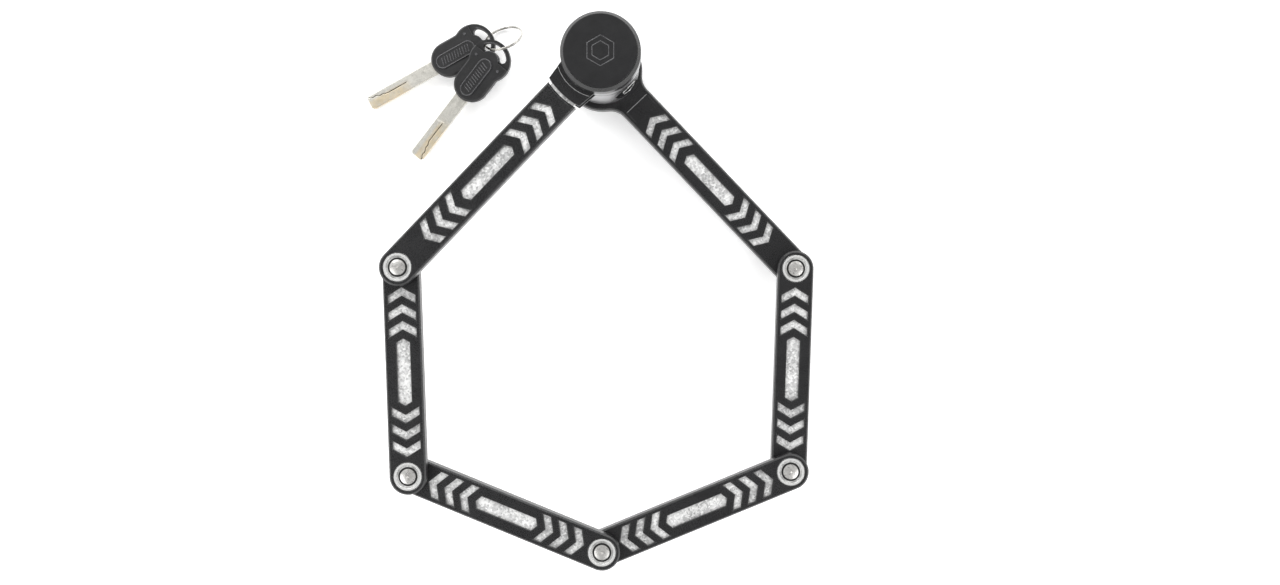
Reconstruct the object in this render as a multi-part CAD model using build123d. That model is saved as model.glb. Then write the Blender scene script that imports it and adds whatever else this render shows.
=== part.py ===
from build123d import *
import math
import os

os.makedirs("parts", exist_ok=True)

# Folding bicycle lock: six flat steel links, riveted end to end, that close on a round lock
# barrel. Origin on the barrel axis at its lower end, +Z along the barrel. Millimetres, degrees.
# The links are numbered from the loose end: link 1 closes into the top of the barrel, and
# link 6 turns round the bottom of it. Rivet n joins link n to link n + 1 below it.

# Loop
LINK_COUNT = 6
LINK_PITCH = 125.0          # rivet to rivet on the middle links
END_PITCH = 174.0           # barrel axis to the first rivet on both end links
END_SLOPE = 46.4            # end links below the X axis, loop laid open
SIDE_SLOPE = 92.0           # next links below the X axis
# Link section
LINK_WIDTH = 22.0
BAR_WIDTH = 18.0
BAR_THICK = 5.0
COVER_SKIN = 1.5            # plastic over each flat face of the bar
COVER_EDGE = 0.9           # chamfer along the cover's rims
LINK_GAP = 0.5              # air between one link and the next
# Windows in the covers
SLOT_WIDTH = 8.0
MIDDLE_SLOT = 40.0          # length of the long window on a middle link
MIDDLE_FIRST = 30.5         # link centre to the first chevron's point
MIDDLE_STEP = 10.05
END_SLOT = 41.5
END_FIRST = 32.6
END_STEP = 10.7
END_CENTRE = 77.2           # rivet to the middle of an end link's windows
CHEVRON_COUNT = 3
CHEVRON_WIDTH = 16.5
CHEVRON_THICK = 4.9
CHEVRON_SWEEP = 30.0
# Rivets
SHANK_RADIUS = 4.0
HEAD_RADIUS = 4.95
WASHER_RADIUS = 8.25
WASHER_FLOOR = 0.45         # metal left under the dished face
WASHER_RIM = 1.1            # raised edge round the dish
RIVET_DIMPLE = 0.9
RIVET_EDGE = 0.2   # straight edge below the dome
# Barrel
BARREL_HEIGHT = 66.0
CAP_RADIUS = 23.75
CAP_CHAMFER = 1.9
FACE_RADIUS = 21.5          # flat disc on the upper end
FACE_THICK = 1.2
SLEEVE_RADIUS = 22.5
SLEEVE_WALL = 1.6
FLANGE_THICK = 1.2          # ledge that the sleeve stands on
COLLAR_RADIUS = 25.1        # link 6's ring round the barrel
COLLAR_SHIFT = 1.3          # the ring is set off the axis, towards one side of the arm
COLLAR_SIDE = -70.0         # that side, from the arm
COLLAR_BLEND = 12.0
JOURNAL_RADIUS = 15.0
BUSH_WALL = 1.5
EYE_WALL = 5.0              # steel of link 6's eye outside its bush
LUG_REACH = 33.0            # barrel axis to the end of the socket lug
LUG_WIDTH = 24.0            # at its outer end
LUG_ROOT = 29.0             # at the barrel
LUG_END_RADIUS = 48.0
LUG_STEP_RADIUS = 26.4      # low step round the foot of the cap
LUG_STEP = 0.7
SOCKET_SPLAY = 4.0          # the socket's closed side opens outwards, in degrees
WINDOW_EDGE = 0.35          # chamfer round the windows
PANEL_START = 30.5
PANEL_END = 39.7
PANEL_WIDTH = 17.0
PANEL_DEPTH = 0.35
# Key cylinder and bolt
PLUG_RADIUS = 8.0
PLUG_WALL = 1.3
PLUG_FLOOR = 2.0
PLUG_FRONT = 3.2            # height of the plug's face above the base
PLUG_TOP = 37.0
DISC_COUNT = 8
DISC_THICK = 1.5
DISC_PITCH = 3.2
BLADE_WIDTH = 9.0
BLADE_THICK = 2.6
SIDEBAR_SIZE = 1.8
BOLT_RADIUS = 5.0
BOLT_TRAVEL = 8.0
BOLT_FOOT = 41.0
SPINDLE_RADIUS = 1.6
CAM_THICK = 2.0
CLIP_WALL = 1.2
CLIP_THICK = 0.8
GUIDE_RADIUS = 1.0
# Key end
POCKET_RADIUS = 20.4
POCKET_DEPTH = 2.6
SHUTTER_RADIUS = 6.2
SHUTTER_THICK = 1.2
SHUTTER_PIVOT = 10.0
SHUTTER_PIN = 1.5
SCREW_RADIUS = 1.5
SCREW_HEAD = 2.8
SCREW_HEAD_THICK = 1.6
SCREW_INSET = 0.2
SCREW_CIRCLE = (PLUG_RADIUS + JOURNAL_RADIUS) / 2 - SCREW_INSET   # mid wall of the journal
TOP_SCREW_CIRCLE = 17.0
TOP_SCREW_ANGLES = (82.0, 145.0, 205.0)   # from the closed tongue
SCREW_GRIP = 7.0            # thread length inside the housing
# Badge
BADGE_WIDTH = 20.0
BADGE_HEIGHT = 25.0
BADGE_THICK = 0.8
BADGE_PIN_RADIUS = 0.9
BADGE_PIN_SPAN = 8.5
# Keys on their ring, lying beside the lock
KEY_BLADE_LENGTH = 47.0
KEY_BLADE_ROOT = 12.0       # blade inside the head
KEY_GROOVE_LENGTH = 29.0
KEY_GROOVE_WIDTH = 1.2
KEY_TIP_CHAMFER = 1.0
KEY_GROOVE_DEPTH = 0.5
KEY_HEAD_THICK = 6.6
KEY_GRIP_WIDTH = 22.0
KEY_CROWN_RADIUS = 13.2
KEY_CROWN_CENTRE = 29.8     # blade shoulder to the centre of the crown
KEY_BLEND = 3.0
KEY_RIM = 1.0
KEY_SLOT_RADIUS = 8.4
KEY_SLOT_WIDTH = 4.6
KEY_SLOT_SWEEP = 96.0
KEY_WEB_THICK = 3.8         # crown round the slot, thinner than the grip
KEY_WEB_START = 5.9
KEY_WEB_EDGE = 2.0
KEY_OVAL_WIDTH = 9.0
KEY_OVAL_LENGTH = 27.0
KEY_OVAL_RAISE = 0.5
KEY_1_TIP = (-149.5, -20.0)
KEY_1_TURN = 28.5
KEY_1_TILT = 2.9            # its crown lies on the ring
KEY_1_LIFT = -0.49          # underside of the head, carried on to the end of the blade
KEY_2_TIP = (-119.5, -53.5)
KEY_2_TURN = 50.5
KEY_2_TILT = 7.8            # it leans on the other key
KEY_2_LIFT = 0.95
RING_RADIUS = 12.3
RING_WIRE = 0.8
RING_CENTRE = (-63.35, 20.2, 10.45)
RING_TILT = -46.7
RING_TURN = 19.7
# Clearances
RUN_FIT = 0.05              # radial, on everything that turns
FACE_FIT = 0.1              # between a turning face and its washer
CLEAR = 0.3                 # between moving pieces that never touch
HOLE_FIT = 0.5              # round a washer inside a cover

LINK_THICK = BAR_THICK + 2 * COVER_SKIN
LAYER_STEP = LINK_THICK + LINK_GAP
STACK_HEIGHT = LINK_COUNT * LINK_THICK + (LINK_COUNT - 1) * LINK_GAP
STACK_BASE = (BARREL_HEIGHT - STACK_HEIGHT) / 2
OPENING_RADIUS = WASHER_RADIUS + HOLE_FIT
SPACER_HEIGHT = 2 * COVER_SKIN + LINK_GAP - FACE_FIT


def layer(number):
    """Height of the underside of a link's cover."""
    return STACK_BASE + (LINK_COUNT - number) * LAYER_STEP


LOWER_COLLAR = layer(6)
UPPER_COLLAR = layer(1)
TONGUE_BASE = UPPER_COLLAR + COVER_SKIN
SOCKET_BASE = TONGUE_BASE - CLEAR
SOCKET_TOP = TONGUE_BASE + BAR_THICK + CLEAR
END_CAP_TOP = LOWER_COLLAR - CLEAR
HOUSING_BASE = LOWER_COLLAR + LINK_THICK + CLEAR
HOUSING_RADIUS = SLEEVE_RADIUS - SLEEVE_WALL
SLEEVE_BASE = HOUSING_BASE + FLANGE_THICK
BUSH_RADIUS = JOURNAL_RADIUS + RUN_FIT + BUSH_WALL
EYE_RADIUS = BUSH_RADIUS + EYE_WALL
TONGUE_RADIUS = BAR_WIDTH / 2
COVER_1_RADIUS = LUG_END_RADIUS + COVER_SKIN
COVER_1_BULGE = COVER_1_RADIUS - math.sqrt(COVER_1_RADIUS ** 2 - (LINK_WIDTH / 2) ** 2)
COVER_1_REACH = LUG_REACH + COVER_1_BULGE + 1.5 * CLEAR
CAM_BASE = PLUG_TOP
SPINDLE_TOP = SOCKET_BASE - 2 * CLEAR
KEYWAY_LENGTH = BLADE_WIDTH + 2 * CLEAR
KEYWAY_WIDTH = BLADE_THICK + 2 * CLEAR
CHAMBER_RADIUS = PLUG_RADIUS + CLIP_WALL + CLEAR


def closing_slope():
    """Slope of the two far links that closes the symmetrical loop on the barrel axis."""
    reach = END_PITCH * math.cos(math.radians(END_SLOPE))
    reach += LINK_PITCH * math.cos(math.radians(SIDE_SLOPE))
    return math.degrees(math.acos(reach / LINK_PITCH))


FAR_SLOPE = closing_slope()
# Heading of each link, seen from its end nearer link 6, walking from the barrel round the loop.
HEADINGS = {6: -END_SLOPE, 5: -SIDE_SLOPE, 4: 180 + FAR_SLOPE,
            3: 180 - FAR_SLOPE, 2: SIDE_SLOPE, 1: END_SLOPE}


def link_length(number):
    return END_PITCH if number in (1, LINK_COUNT) else LINK_PITCH


def joint_points():
    """Plan position of the start of each link, from link 6 at the barrel round to link 1."""
    points = {}
    x, y = 0.0, 0.0
    for number in range(LINK_COUNT, 0, -1):
        points[number] = (x, y)
        heading = math.radians(HEADINGS[number])
        x += link_length(number) * math.cos(heading)
        y += link_length(number) * math.sin(heading)
    return points


STARTS = joint_points()
CLOSING = END_SLOPE + 180   # heading of link 1 seen from the barrel
BADGE_TURN = CLOSING - 180


def place(shape, number, height):
    """Move a link piece drawn along +X from its start pivot into its place in the loop."""
    x, y = STARTS[number]
    return Location((x, y, height), (0, 0, HEADINGS[number])) * shape


def turned(shape, angle, height=0.0):
    return Location((0, 0, height), (0, 0, angle)) * shape


def disc(radius, base, top, at=(0.0, 0.0)):
    return extrude(Pos(at[0], at[1], base) * Circle(radius), top - base)


def ring(outer, inner, base, top, at=(0.0, 0.0)):
    return extrude(Pos(at[0], at[1], base) * (Circle(outer) - Circle(inner)), top - base)


# ---------------------------------------------------------------- links


def chevron(direction):
    """Arrow-shaped window with its point at the origin, aimed along +X or -X."""
    half = CHEVRON_WIDTH / 2
    back = half * math.tan(math.radians(CHEVRON_SWEEP))
    outline = [(0, 0), (-back, half), (-back - CHEVRON_THICK, half), (-CHEVRON_THICK, 0),
               (-back - CHEVRON_THICK, -half), (-back, -half)]
    return make_face(Polyline([(direction * x, y) for x, y in outline], close=True))


def long_window(length):
    """Straight window with a blunt point at each end."""
    half = SLOT_WIDTH / 2
    shoulder = length / 2 - half * math.tan(math.radians(CHEVRON_SWEEP))
    outline = [(length / 2, 0), (shoulder, half), (-shoulder, half),
               (-length / 2, 0), (-shoulder, -half), (shoulder, -half)]
    return make_face(Polyline(outline, close=True))


def window_cuts(centre, slot, first, step):
    """Windows through both skins of a cover, the points facing away from the middle."""
    faces = [Pos(centre, 0) * long_window(slot)]
    for index in range(CHEVRON_COUNT):
        reach = first + index * step
        faces.append(Pos(centre + reach, 0) * chevron(1))
        faces.append(Pos(centre - reach, 0) * chevron(-1))
    cuts = []
    for face in faces:
        for base, flip in ((0.0, 1), (LINK_THICK, -1)):
            cuts.append(extrude(Pos(0, 0, base) * face, flip * COVER_SKIN))
            mouth = Pos(0, 0, base) * offset(face, WINDOW_EDGE, kind=Kind.INTERSECTION)
            cuts.append(extrude(mouth, flip * WINDOW_EDGE, taper=45))
    return cuts


def strip(length, width):
    """Round-ended strip from the origin to a pivot at the given length."""
    return Pos(length / 2, 0) * SlotCenterToCenter(length, width)


def opening(at):
    return disc(OPENING_RADIUS, 0, LINK_THICK, (at, 0))


def soften(body, size):
    """Chamfer every edge of both flat faces."""
    rims = body.faces().sort_by(Axis.Z)[0].edges() + body.faces().sort_by(Axis.Z)[-1].edges()
    return chamfer(rims, size)


def middle_bar():
    bar = extrude(strip(LINK_PITCH, BAR_WIDTH), BAR_THICK)
    for at in (0.0, LINK_PITCH):
        bar -= disc(SHANK_RADIUS + RUN_FIT, 0, BAR_THICK, (at, 0))
    return bar


def middle_cover():
    cover = soften(extrude(strip(LINK_PITCH, LINK_WIDTH), LINK_THICK), COVER_EDGE)
    cover -= extrude(Pos(0, 0, COVER_SKIN) * strip(LINK_PITCH, BAR_WIDTH), BAR_THICK)
    cover -= window_cuts(LINK_PITCH / 2, MIDDLE_SLOT, MIDDLE_FIRST, MIDDLE_STEP)
    return cover - [opening(0.0), opening(LINK_PITCH)]


def closing_bar():
    """Link 1's bar, from its rivet to the tongue with the bolt hole on the barrel axis."""
    bar = extrude(strip(END_PITCH, BAR_WIDTH), BAR_THICK)
    bar -= disc(SHANK_RADIUS + RUN_FIT, 0, BAR_THICK)
    return bar - disc(BOLT_RADIUS + CLEAR, 0, BAR_THICK, (END_PITCH, 0))


def closing_cover():
    """Link 1's cover, which ends in an arc round the barrel so that the tongue stands out."""
    face = Pos(END_PITCH - COVER_1_REACH + COVER_1_RADIUS, 0) * Circle(COVER_1_RADIUS)
    face += Pos(END_PITCH, 0) * Rectangle(LINK_WIDTH, 2 * LINK_WIDTH)
    blank = strip(END_PITCH, LINK_WIDTH) - face
    cover = soften(extrude(blank, LINK_THICK), COVER_EDGE)
    cover -= extrude(Pos(0, 0, COVER_SKIN) * strip(END_PITCH, BAR_WIDTH), BAR_THICK)
    cover -= window_cuts(END_CENTRE, END_SLOT, END_FIRST, END_STEP)
    return cover - opening(0.0)


def eye_outline():
    """Plan of link 6's bar: a strip that opens into a ring at the barrel."""
    return strip(END_PITCH, BAR_WIDTH) + Circle(EYE_RADIUS)


def swivel_bar():
    bar = extrude(eye_outline() - Circle(BUSH_RADIUS), BAR_THICK)
    return bar - disc(SHANK_RADIUS + RUN_FIT, 0, BAR_THICK, (END_PITCH, 0))


def collar_plan():
    """Plan of link 6's cover at the barrel: a ring and the arm, the inside corners rounded."""
    x, y = circle_points(COLLAR_SHIFT, [COLLAR_SIDE])[0]
    plan = Pos(x, y) * Circle(COLLAR_RADIUS)
    plan += Pos(END_PITCH / 2, 0) * Rectangle(END_PITCH, LINK_WIDTH)
    inner = 0.5 * COLLAR_RADIUS
    corners = plan.vertices().filter_by(lambda v: inner < v.X < 2 * COLLAR_RADIUS)
    return fillet(corners, COLLAR_BLEND)


def swivel_cover():
    """Link 6's cover, with the collar that runs round the barrel."""
    plan = collar_plan() + Pos(END_PITCH, 0) * Circle(LINK_WIDTH / 2)
    cover = soften(extrude(plan, LINK_THICK), COVER_EDGE)
    cover -= disc(JOURNAL_RADIUS + 2 * CLEAR, 0, LINK_THICK)
    cover -= extrude(Pos(0, 0, COVER_SKIN) * eye_outline(), BAR_THICK)
    cover -= window_cuts(END_PITCH - END_CENTRE, END_SLOT, END_FIRST, END_STEP)
    panel = Rectangle(PANEL_END - PANEL_START, PANEL_WIDTH)
    middle = (PANEL_START + PANEL_END) / 2
    cover -= extrude(Pos(middle, 0, LINK_THICK - PANEL_DEPTH) * panel, PANEL_DEPTH)
    return cover - opening(END_PITCH)


def swivel_bush():
    return ring(BUSH_RADIUS, JOURNAL_RADIUS + RUN_FIT, 0, BAR_THICK)


# ---------------------------------------------------------------- rivets


def rivet():
    """Rivet through two links: height 0 is the underside of the lower bar."""
    top = LAYER_STEP + BAR_THICK
    seat = WASHER_FLOOR
    dome = COVER_SKIN - WASHER_FLOOR
    body = disc(SHANK_RADIUS, -seat, top + FACE_FIT + seat)
    for base, up in ((top + FACE_FIT + seat, 1), (-seat, -1)):
        height = dome - FACE_FIT if up > 0 else dome
        head = rivet_head(height)
        body += Location((0, 0, base), (0 if up > 0 else 180, 0, 0)) * head
    return body


def rivet_head(height):
    """Low dome, standing on the plane z = 0, with a dimple in the middle."""
    rise = height - RIVET_EDGE
    sphere_radius = (HEAD_RADIUS ** 2 + rise ** 2) / (2 * rise)
    dome = Pos(0, 0, height - sphere_radius) * Sphere(sphere_radius)
    head = dome & disc(HEAD_RADIUS, 0, height)
    return head - Pos(0, 0, height) * Sphere(RIVET_DIMPLE)


def cup_washer(height):
    """Dished washer, standing on the plane z = 0."""
    washer = ring(WASHER_RADIUS, SHANK_RADIUS, 0, height)
    return washer - ring(WASHER_RADIUS - WASHER_RIM, SHANK_RADIUS, WASHER_FLOOR, height)


def rivet_washers():
    top = LAYER_STEP + BAR_THICK + FACE_FIT
    upper = Pos(0, 0, top) * cup_washer(COVER_SKIN - FACE_FIT)
    lower = Rotation(180, 0, 0) * cup_washer(COVER_SKIN)
    return Compound([upper, lower])


def link_spacer():
    return ring(WASHER_RADIUS, SHANK_RADIUS, BAR_THICK, BAR_THICK + SPACER_HEIGHT)


# ---------------------------------------------------------------- barrel


def socket_space():
    """Plan of the space that the tongue needs: its bed, and all of the side it swings out to."""
    far = 2 * CAP_RADIUS
    edge = TONGUE_RADIUS + CLEAR
    mouth = edge + far * math.tan(math.radians(SOCKET_SPLAY))
    return make_face(Polyline([(-edge, edge), (0, edge), (far, mouth), (far, -far), (-edge, -far)],
                              close=True))


def lug_plan():
    """Tapered arm of the socket, its end a shallow arc, with the barrel's outline."""
    half_root = LUG_ROOT / 2
    half_end = LUG_WIDTH / 2
    foot = CAP_RADIUS / 2
    reach = LUG_REACH + COVER_SKIN
    slope = (half_root - half_end) / (LUG_REACH - foot)
    tip = half_root - slope * (reach - foot)
    arm = make_face(Polyline([(foot, -half_root), (reach, -tip), (reach, tip), (foot, half_root)],
                             close=True))
    arm = arm & (Pos(LUG_REACH - LUG_END_RADIUS, 0) * Circle(LUG_END_RADIUS))
    return arm + Circle(CAP_RADIUS)


def upper_cap():
    """Cap over the socket, with the upper half of the lug and a blind seat for the bolt."""
    top = BARREL_HEIGHT - FACE_THICK
    cap = disc(CAP_RADIUS, SOCKET_TOP, top)
    cap = chamfer(cap.faces().sort_by(Axis.Z)[-1].edges(), CAP_CHAMFER)
    lug = extrude(lug_plan(), UPPER_COLLAR + LINK_THICK - SOCKET_TOP)
    step = extrude(lug_plan() & Circle(LUG_STEP_RADIUS), UPPER_COLLAR + LINK_THICK + LUG_STEP - SOCKET_TOP)
    cap += turned(lug, CLOSING, SOCKET_TOP)
    cap += turned(step, CLOSING, SOCKET_TOP)
    cap -= disc(BOLT_RADIUS + CLEAR, SOCKET_TOP, SOCKET_TOP + BOLT_TRAVEL / 2)
    for at in top_screw_points():
        cap -= disc(SCREW_RADIUS, SOCKET_TOP, top, at)
        cap -= disc(SCREW_HEAD, top - SCREW_HEAD_THICK, top, at)
    return cap


def upper_face():
    return disc(FACE_RADIUS, BARREL_HEIGHT - FACE_THICK, BARREL_HEIGHT)


def socket_floor():
    """Plate under the socket, with the lower half of the lug."""
    plan = lug_plan() - Circle(BOLT_RADIUS + CLEAR)
    plate = turned(extrude(plan, SOCKET_BASE - UPPER_COLLAR), CLOSING, UPPER_COLLAR)
    for at in top_screw_points():
        plate -= disc(SCREW_RADIUS, UPPER_COLLAR, SOCKET_BASE, at)
    return plate


def stop_block():
    """Steel block behind the tongue, which carries the cap and stops the tongue's nose."""
    plan = Circle(CAP_RADIUS) - socket_space()
    block = turned(extrude(plan, SOCKET_TOP - SOCKET_BASE), CLOSING, SOCKET_BASE)
    for at in top_screw_points():
        block -= disc(SCREW_RADIUS, SOCKET_BASE, SOCKET_TOP, at)
    return block


def circle_points(radius, angles):
    return [(radius * math.cos(math.radians(a)), radius * math.sin(math.radians(a)))
            for a in angles]


def top_screw_points():
    """Screws through the block, on the two sides that the tongue never crosses."""
    return circle_points(TOP_SCREW_CIRCLE, [CLOSING + angle for angle in TOP_SCREW_ANGLES])


def end_screw_points():
    return circle_points(SCREW_CIRCLE, [150, 210, 330])


def cap_screw(grip):
    """Cap-head screw with its seat at z = 0 and the shank downwards."""
    return disc(SCREW_RADIUS, -grip, 0) + disc(SCREW_HEAD, 0, SCREW_HEAD_THICK)


def upper_cap_screws():
    seat = BARREL_HEIGHT - FACE_THICK - SCREW_HEAD_THICK
    grip = seat - UPPER_COLLAR + SCREW_GRIP
    return Compound([Pos(x, y, seat) * cap_screw(grip) for x, y in top_screw_points()])


def end_cap_screws():
    seat = POCKET_DEPTH + SCREW_HEAD_THICK
    grip = END_CAP_TOP - seat + SCREW_GRIP
    screws = [Location((x, y, seat), (180, 0, 0)) * cap_screw(grip)
              for x, y in end_screw_points()]
    return Compound(screws)


def lock_housing():
    """Steel core: journal for link 6 below, ledge for the sleeve, bores for plug and bolt."""
    core = disc(JOURNAL_RADIUS, END_CAP_TOP, HOUSING_BASE)
    core += disc(SLEEVE_RADIUS, HOUSING_BASE, SLEEVE_BASE)
    core += disc(HOUSING_RADIUS, SLEEVE_BASE, UPPER_COLLAR)
    core -= disc(PLUG_RADIUS + RUN_FIT, END_CAP_TOP, CAM_BASE)
    core -= disc(CHAMBER_RADIUS, CAM_BASE - CLIP_THICK - CLEAR, BOLT_FOOT)
    core -= disc(BOLT_RADIUS + RUN_FIT, BOLT_FOOT, UPPER_COLLAR)
    for at in end_screw_points():
        core -= disc(SCREW_RADIUS, END_CAP_TOP, END_CAP_TOP + SCREW_GRIP, at)
    for at in top_screw_points():
        core -= disc(SCREW_RADIUS, UPPER_COLLAR - SCREW_GRIP, UPPER_COLLAR, at)
    return core - guide_pin()


def guide_pin():
    """Pin in the housing that keeps the bolt from turning."""
    height = (BOLT_FOOT + UPPER_COLLAR) / 2
    length = HOUSING_RADIUS - BOLT_RADIUS
    middle = BOLT_RADIUS - GUIDE_RADIUS + length / 2
    return Location((middle, 0, height), (0, 90, 0)) * Cylinder(GUIDE_RADIUS, length)


def barrel_sleeve():
    return ring(SLEEVE_RADIUS, HOUSING_RADIUS, SLEEVE_BASE, UPPER_COLLAR) - badge_pins()


def badge_blank(width, height, inner, outer):
    """Oval patch of a tube wall, on the side of the barrel beside the socket."""
    patch = extrude(Rotation(90, 0, 0) * Ellipse(width / 2, height / 2), outer + CLEAR)
    shell = ring(outer, inner, -height, height)
    return turned(patch & shell, BADGE_TURN, badge_height())


def badge_height():
    return (SLEEVE_BASE + UPPER_COLLAR) / 2


def badge_plate():
    outer = SLEEVE_RADIUS + BADGE_THICK
    return badge_blank(BADGE_WIDTH, BADGE_HEIGHT, SLEEVE_RADIUS, outer) - badge_pins()


def badge_pins():
    """Two pins that hold the badge, through the sleeve wall."""
    length = SLEEVE_WALL + BADGE_THICK + BADGE_PIN_RADIUS / 2
    middle = -(HOUSING_RADIUS + length / 2)
    pin = Rotation(90, 0, 0) * Cylinder(BADGE_PIN_RADIUS, length)
    heights = (badge_height() - BADGE_PIN_SPAN, badge_height() + BADGE_PIN_SPAN)
    return Compound([turned(Pos(0, middle, 0) * pin, BADGE_TURN, height) for height in heights])


def key_end_cap():
    """Lower cap, with the pocket that holds the keyway shutter."""
    cap = disc(CAP_RADIUS, 0, END_CAP_TOP)
    cap = chamfer(cap.faces().sort_by(Axis.Z)[0].edges(), CAP_CHAMFER)
    cap -= disc(POCKET_RADIUS, 0, POCKET_DEPTH)
    cap -= disc(PLUG_RADIUS + RUN_FIT, POCKET_DEPTH, END_CAP_TOP)
    cap -= disc(SHUTTER_PIN, POCKET_DEPTH, END_CAP_TOP, (0, SHUTTER_PIVOT))
    for at in end_screw_points():
        cap -= disc(SCREW_HEAD, POCKET_DEPTH, POCKET_DEPTH + SCREW_HEAD_THICK, at)
        cap -= disc(SCREW_RADIUS, POCKET_DEPTH, END_CAP_TOP, at)
    return cap


def shutter_base():
    return (POCKET_DEPTH - SHUTTER_THICK) / 2


def dust_shutter():
    """Swinging shutter over the keyway."""
    plan = Circle(SHUTTER_RADIUS) + Pos(0, SHUTTER_PIVOT) * Circle(2 * SHUTTER_PIN)
    plan += Pos(0, SHUTTER_PIVOT / 2) * Rectangle(3 * SHUTTER_PIN, SHUTTER_PIVOT)
    plan -= Pos(0, SHUTTER_PIVOT) * Circle(SHUTTER_PIN + RUN_FIT)
    return extrude(Pos(0, 0, shutter_base()) * plan, SHUTTER_THICK)


def shutter_pin():
    at = (0, SHUTTER_PIVOT)
    pin = disc(SHUTTER_PIN, shutter_base() - FACE_FIT, END_CAP_TOP, at)
    return pin + disc(2 * SHUTTER_PIN, CLEAR / 2, shutter_base() - FACE_FIT, at)


# ---------------------------------------------------------------- key cylinder


def keyway(base, top):
    return extrude(Pos(0, 0, base) * Rectangle(KEYWAY_LENGTH, KEYWAY_WIDTH), top - base)


def sidebar_seat():
    height = DISC_COUNT * DISC_PITCH
    middle = PLUG_RADIUS - PLUG_WALL / 2
    seat = Box(PLUG_WALL + 2.0, SIDEBAR_SIZE, height)
    return Pos(0, middle, PLUG_FRONT + PLUG_FLOOR + height / 2) * Rotation(0, 0, 90) * seat


def key_plug():
    """Drum that holds the discs, closed at the face except for the keyway."""
    plug = disc(PLUG_RADIUS, PLUG_FRONT, PLUG_TOP)
    plug -= disc(PLUG_RADIUS - PLUG_WALL, PLUG_FRONT + PLUG_FLOOR, PLUG_TOP)
    groove = ring(PLUG_RADIUS, PLUG_RADIUS - PLUG_WALL / 2, PLUG_TOP - CLIP_THICK, PLUG_TOP)
    return plug - keyway(PLUG_FRONT, PLUG_TOP) - sidebar_seat() - groove


def plug_clip():
    """Retaining ring in the groove at the inner end of the drum."""
    clip = ring(PLUG_RADIUS + CLIP_WALL, PLUG_RADIUS - PLUG_WALL / 2,
                PLUG_TOP - CLIP_THICK, PLUG_TOP)
    return clip - Pos(PLUG_RADIUS, 0, PLUG_TOP) * Box(4.0, 3.0, 4.0)


def disc_base(index):
    return PLUG_FRONT + PLUG_FLOOR + index * DISC_PITCH


def detainer_discs():
    """Slotted discs, each with a notch for the sidebar."""
    radius = PLUG_RADIUS - PLUG_WALL
    stack = []
    for index in range(DISC_COUNT):
        base = disc_base(index)
        blank = disc(radius, base, base + DISC_THICK) - keyway(base, base + DISC_THICK)
        stack.append(blank - sidebar_seat())
    return Compound(stack)


def disc_spacers():
    """Thin rings that part one disc from the next."""
    radius = PLUG_RADIUS - PLUG_WALL
    stack = []
    for index in range(DISC_COUNT):
        base = disc_base(index) + DISC_THICK
        blank = disc(radius, base, base + DISC_PITCH - DISC_THICK)
        blank -= keyway(base, base + DISC_PITCH)
        stack.append(blank - sidebar_seat())
    return Compound(stack)


def sidebar():
    return sidebar_seat() & disc(PLUG_RADIUS, PLUG_FRONT, PLUG_TOP)


def bolt_cam():
    """Driver on the end of the drum, with the screw spindle that lifts the bolt."""
    plate = disc(PLUG_RADIUS, CAM_BASE, CAM_BASE + CAM_THICK)
    stop = PLUG_FRONT + PLUG_FLOOR + DISC_COUNT * DISC_PITCH
    neck = disc(PLUG_RADIUS - PLUG_WALL, stop, CAM_BASE)
    return plate + neck + disc(SPINDLE_RADIUS, CAM_BASE, SPINDLE_TOP)


def locking_bolt():
    """Bolt on the barrel axis, drawn down; it rises through the hole in the tongue."""
    top = SOCKET_BASE - CLEAR
    bolt = disc(BOLT_RADIUS, BOLT_FOOT - 1.0, top)
    bolt = chamfer(bolt.faces().sort_by(Axis.Z)[-1].edges(), 0.6)
    bolt -= disc(SPINDLE_RADIUS + RUN_FIT, BOLT_FOOT - 1.0, SPINDLE_TOP + CLEAR)
    groove = Box(2 * GUIDE_RADIUS + 1.0, 2 * GUIDE_RADIUS + 2 * CLEAR, 4 * BOLT_TRAVEL)
    return bolt - Pos(BOLT_RADIUS, 0, BOLT_FOOT) * groove


# ---------------------------------------------------------------- keys


def key_head_plan():
    """Grip and crown of the head; x = 0 is the shoulder at the blade."""
    half = KEY_GRIP_WIDTH / 2
    straight = KEY_CROWN_CENTRE - half
    plan = Pos(half, 0) * Circle(half) + Pos(half + straight / 2, 0) * Rectangle(straight, 2 * half)
    plan += Pos(KEY_CROWN_CENTRE, 0) * Circle(KEY_CROWN_RADIUS)
    notch = KEY_CROWN_CENTRE - math.sqrt(KEY_CROWN_RADIUS ** 2 - half ** 2)
    corners = plan.vertices().filter_by(lambda v: abs(v.X - notch) < 0.01)
    return fillet(corners, KEY_BLEND)


def key_slot_plan():
    """Curved slot for the ring, along the far side of the crown."""
    inner = KEY_SLOT_RADIUS - KEY_SLOT_WIDTH / 2
    outer = KEY_SLOT_RADIUS + KEY_SLOT_WIDTH / 2
    half = KEY_SLOT_SWEEP / 2
    ends = circle_points(KEY_SLOT_RADIUS, [-half, half])
    reach = 2 * KEY_CROWN_RADIUS * math.tan(math.radians(half))
    wedge = make_face(Polyline([(0, 0), (2 * KEY_CROWN_RADIUS, -reach),
                                (2 * KEY_CROWN_RADIUS, reach)], close=True))
    slot = (Circle(outer) - Circle(inner)) & wedge
    for x, y in ends:
        slot += Pos(x, y) * Circle(KEY_SLOT_WIDTH / 2)
    return Pos(KEY_CROWN_CENTRE, 0) * slot


def key_web_plan():
    """The far part of the crown, outside a round step."""
    reach = 2 * KEY_CROWN_RADIUS
    far_side = Pos(KEY_WEB_EDGE + reach / 2, 0) * Rectangle(reach, 2 * reach)
    return Pos(KEY_CROWN_CENTRE, 0) * (far_side - Circle(KEY_WEB_START))


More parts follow.
